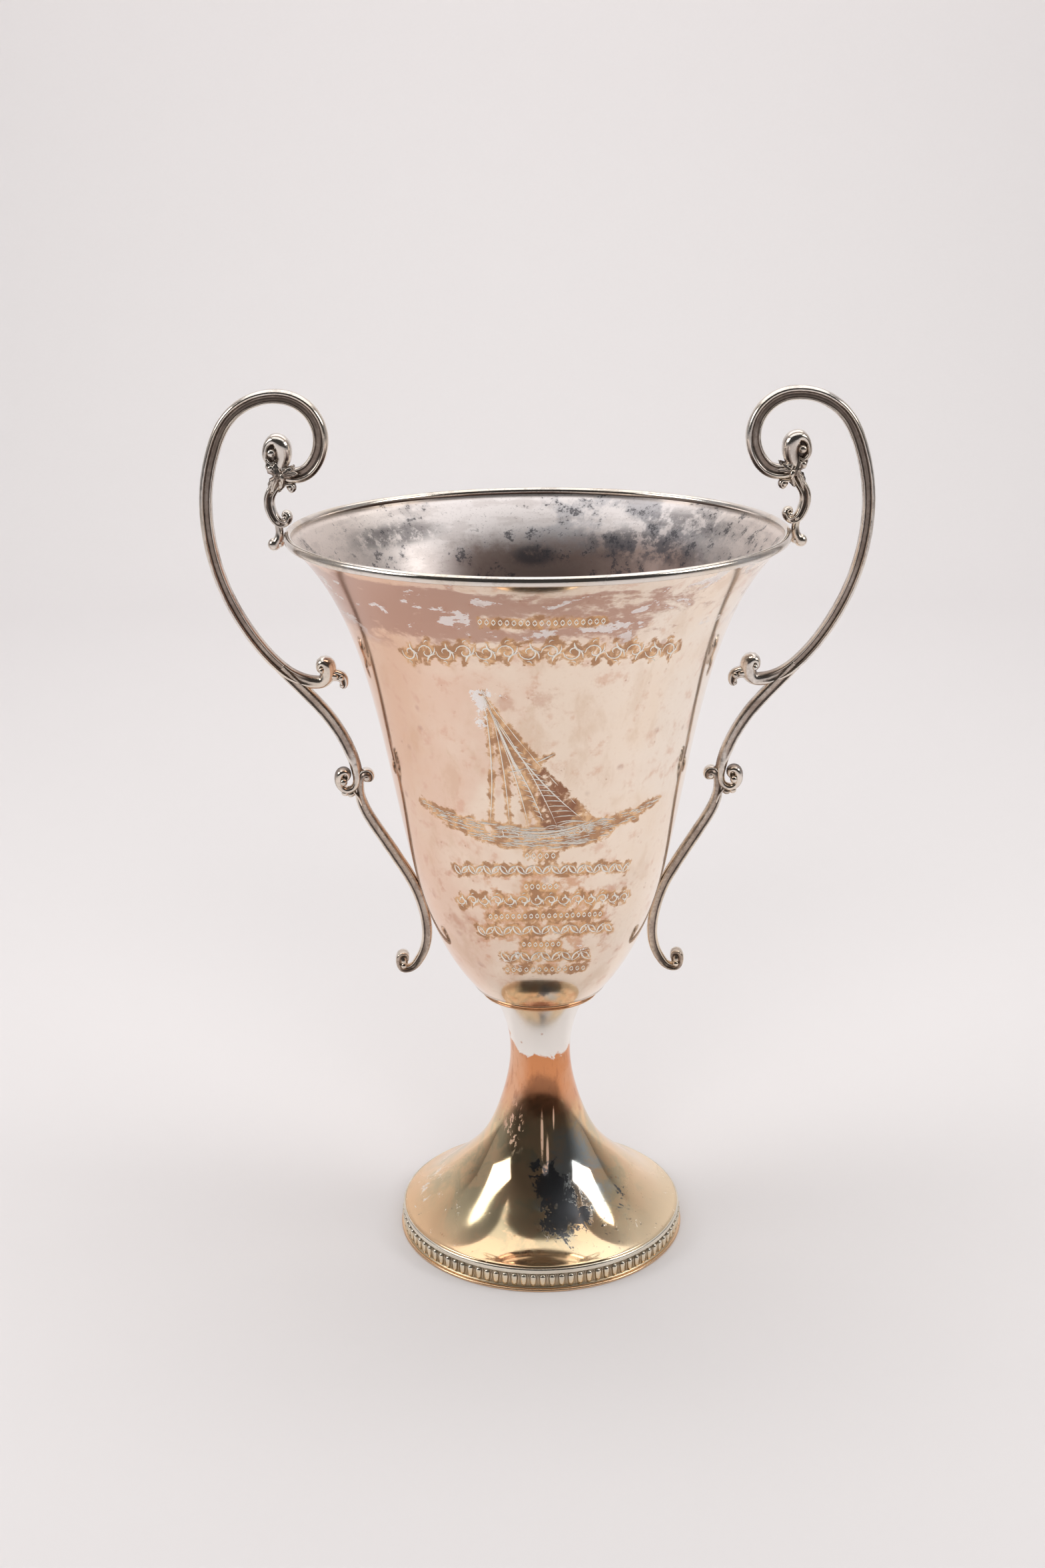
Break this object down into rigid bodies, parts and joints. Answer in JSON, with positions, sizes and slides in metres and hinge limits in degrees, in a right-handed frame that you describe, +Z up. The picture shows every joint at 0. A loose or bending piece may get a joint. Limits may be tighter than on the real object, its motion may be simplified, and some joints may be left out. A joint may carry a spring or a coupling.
{
  "type": "trophy cup",
  "caption": "Two-handled presentation cup with a bell-shaped bowl, hollow trumpet foot, fluted foot band and tall cast scroll handles, in worn silver plate.",
  "frame": {"origin": "centre of the foot's flat base, on the surface the cup stands on", "axes": "+Z up along the cup's axis; +X towards the right handle, with both handles in the XZ plane; -Y is the engraved front"},
  "size_m": [0.2586, 0.1936, 0.3507],
  "materials": {
    "bowl_plate": "polished, silver plate worn to pink copper, patchy tarnish",
    "rim_plate": "polished silver plate with dark tarnish",
    "stem_plate": "mirror-polished, silver plate worn through to copper and gold tones",
    "band_plate": "polished silver plate, dark in the flutes",
    "handle_plate": "cast, silver-plated, oxidised in the recesses"
  },
  "bodies": {
    "root": {"bowl_shell": "bowl_plate", "rim_moulding": "rim_plate", "bowl_collar": "stem_plate", "stem_foot_shell": "stem_plate", "foot_fluted_band": "band_plate", "foot_base_wire": "band_plate", "left_rim_bracket": "handle_plate", "left_main_scroll": "handle_plate", "left_scroll_tip_leaf": "handle_plate", "left_acanthus_leaf": "handle_plate", "left_upper_strut": "handle_plate", "left_lower_strut": "handle_plate", "right_rim_bracket": "handle_plate", "right_main_scroll": "handle_plate", "right_scroll_tip_leaf": "handle_plate", "right_acanthus_leaf": "handle_plate", "right_upper_strut": "handle_plate", "right_lower_strut": "handle_plate"}
  },
  "joints": []
}
